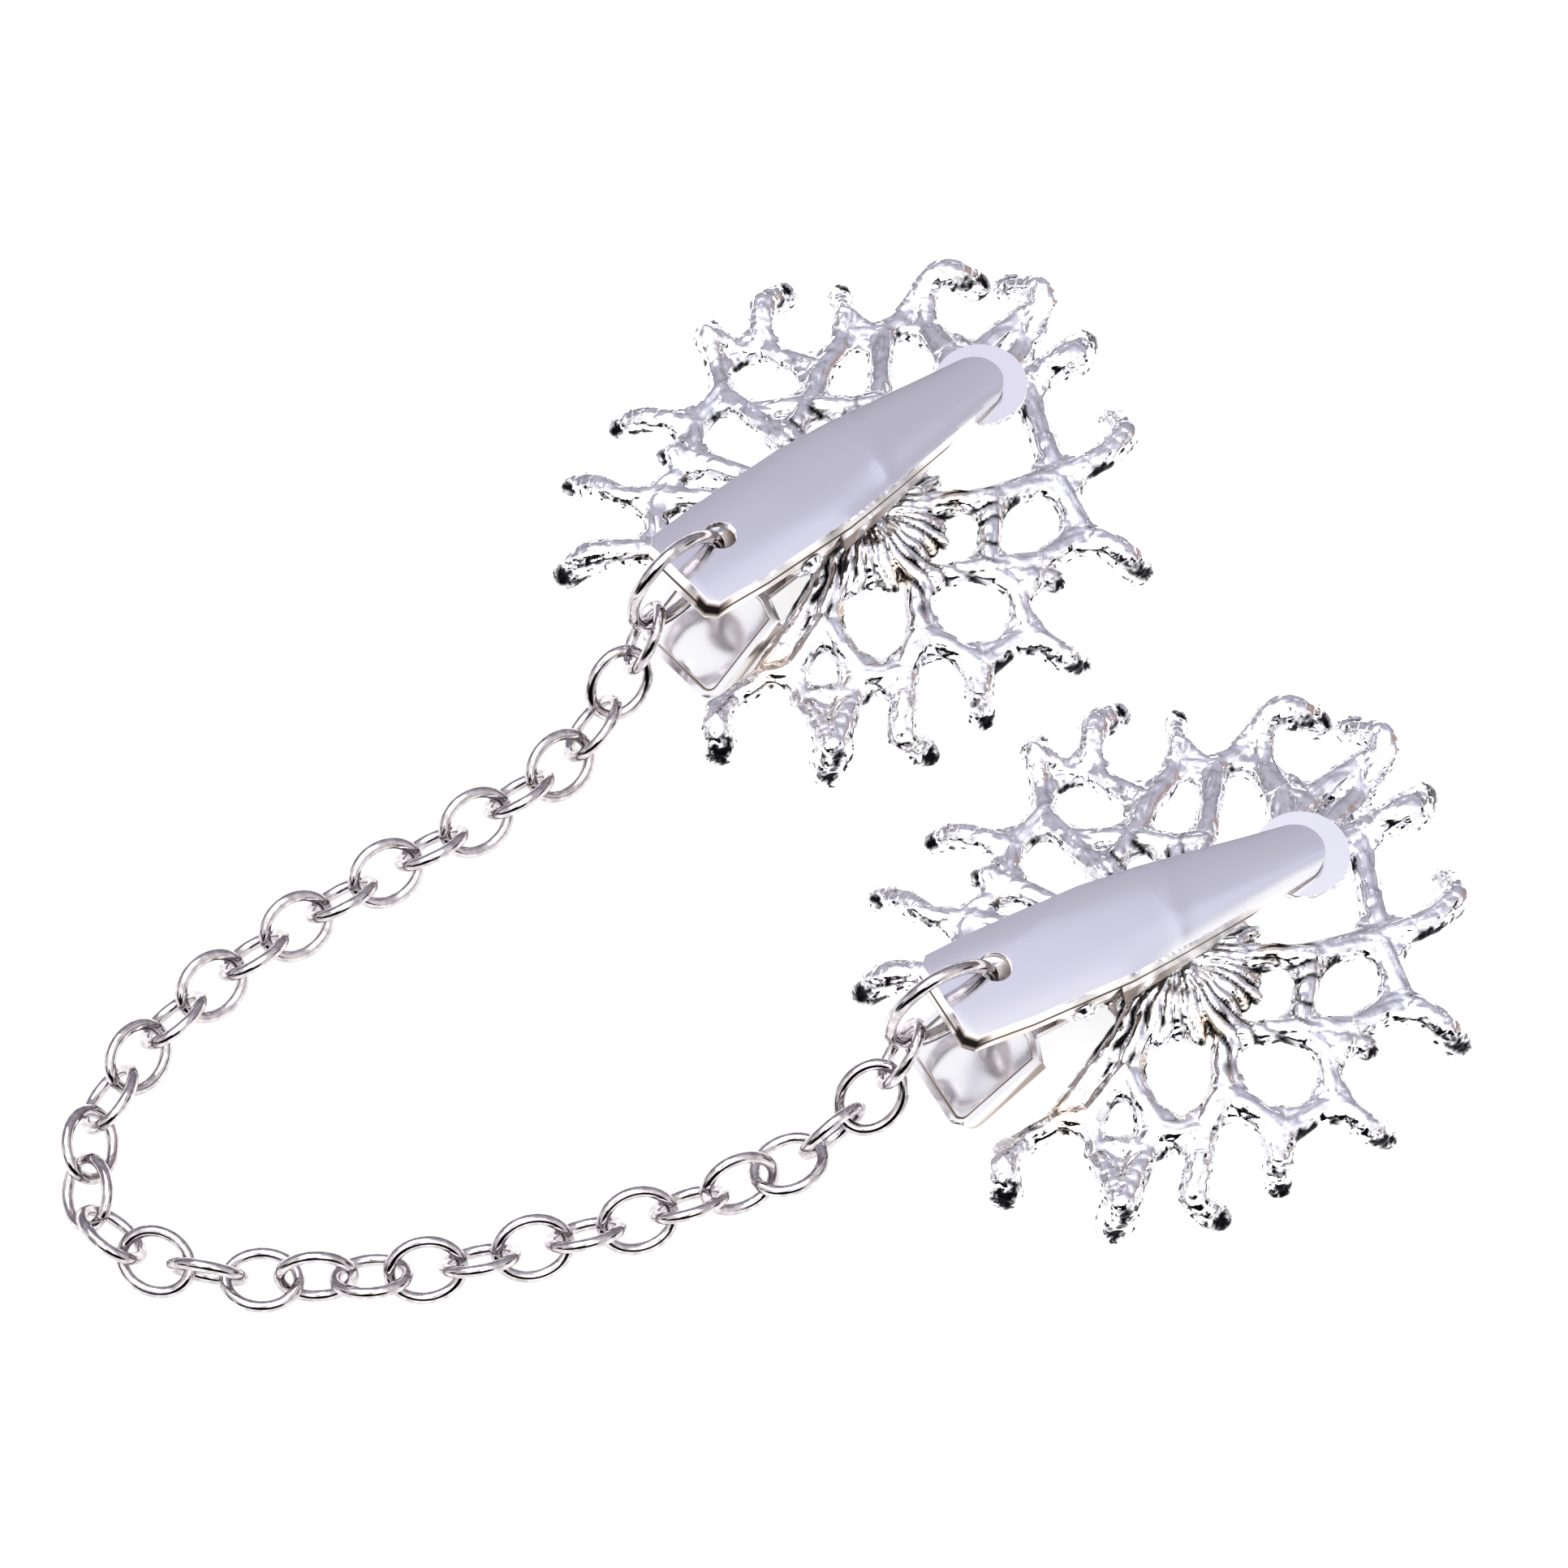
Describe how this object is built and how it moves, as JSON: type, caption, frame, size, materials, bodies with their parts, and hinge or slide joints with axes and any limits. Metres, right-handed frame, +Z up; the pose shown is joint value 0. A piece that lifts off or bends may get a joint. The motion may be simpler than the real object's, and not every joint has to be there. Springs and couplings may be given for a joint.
{
  "type": "cardigan clip",
  "caption": "Cardigan clip: openwork coral cast plaques, each with a sprung duckbill lever clip on its back, joined by a cable chain of oval links between jump rings.",
  "frame": {"origin": "middle of the whole object's box on the surface that it lies on", "axes": "+Z up off the surface, with the clips' backs upwards; +X along the length, from the chain's far bend to the second plaque; +Y from the chain's front run to the first plaque"},
  "size_m": [0.1186, 0.1032, 0.0181],
  "materials": {
    "cast_silver": "bright plated casting with a fine hammered skin",
    "polished_sheet": "mirror-polished plated steel sheet",
    "chain_steel": "polished drawn wire"
  },
  "bodies": {
    "clip": {"plaque_a": "cast_silver", "lower_jaw_a": "polished_sheet", "hinge_pin_a": "chain_steel", "spring_a": "chain_steel", "jump_ring_a": "chain_steel", "plaque_b": "cast_silver", "lower_jaw_b": "polished_sheet", "hinge_pin_b": "chain_steel", "spring_b": "chain_steel", "jump_ring_b": "chain_steel", "link_01": "chain_steel", "link_02": "chain_steel", "link_03": "chain_steel", "link_04": "chain_steel", "link_05": "chain_steel", "link_06": "chain_steel", "link_07": "chain_steel", "link_08": "chain_steel", "link_09": "chain_steel", "link_10": "chain_steel", "link_11": "chain_steel", "link_12": "chain_steel", "link_13": "chain_steel", "link_14": "chain_steel", "link_15": "chain_steel", "link_16": "chain_steel", "link_17": "chain_steel", "link_18": "chain_steel", "link_19": "chain_steel", "link_20": "chain_steel", "link_21": "chain_steel", "link_22": "chain_steel", "link_23": "chain_steel", "link_24": "chain_steel", "link_25": "chain_steel", "link_26": "chain_steel", "link_27": "chain_steel", "link_28": "chain_steel", "link_29": "chain_steel", "link_30": "chain_steel", "link_31": "chain_steel", "link_32": "chain_steel", "link_33": "chain_steel", "link_34": "chain_steel"},
    "lever_a": {"lever_a": "polished_sheet"},
    "lever_b": {"lever_b": "polished_sheet"}
  },
  "joints": [
    {"name": "lever_a_hinge", "type": "hinge", "parent": "clip", "child": "lever_a", "pos_m": [-0.00003, 0.01918, 0.0101], "axis": [0.6691, -0.7431, 0], "range_deg": [0, 16], "stiffness_Nm_per_rad": 0.02, "springref_deg": -2.86, "deforming": ["spring_a"]},
    {"name": "lever_b_hinge", "type": "hinge", "parent": "clip", "child": "lever_b", "pos_m": [0.02345, -0.0237, 0.0101], "axis": [0.497, -0.8678, 0], "range_deg": [0, 16], "stiffness_Nm_per_rad": 0.02, "springref_deg": -2.86, "deforming": ["spring_b"]}
  ]
}
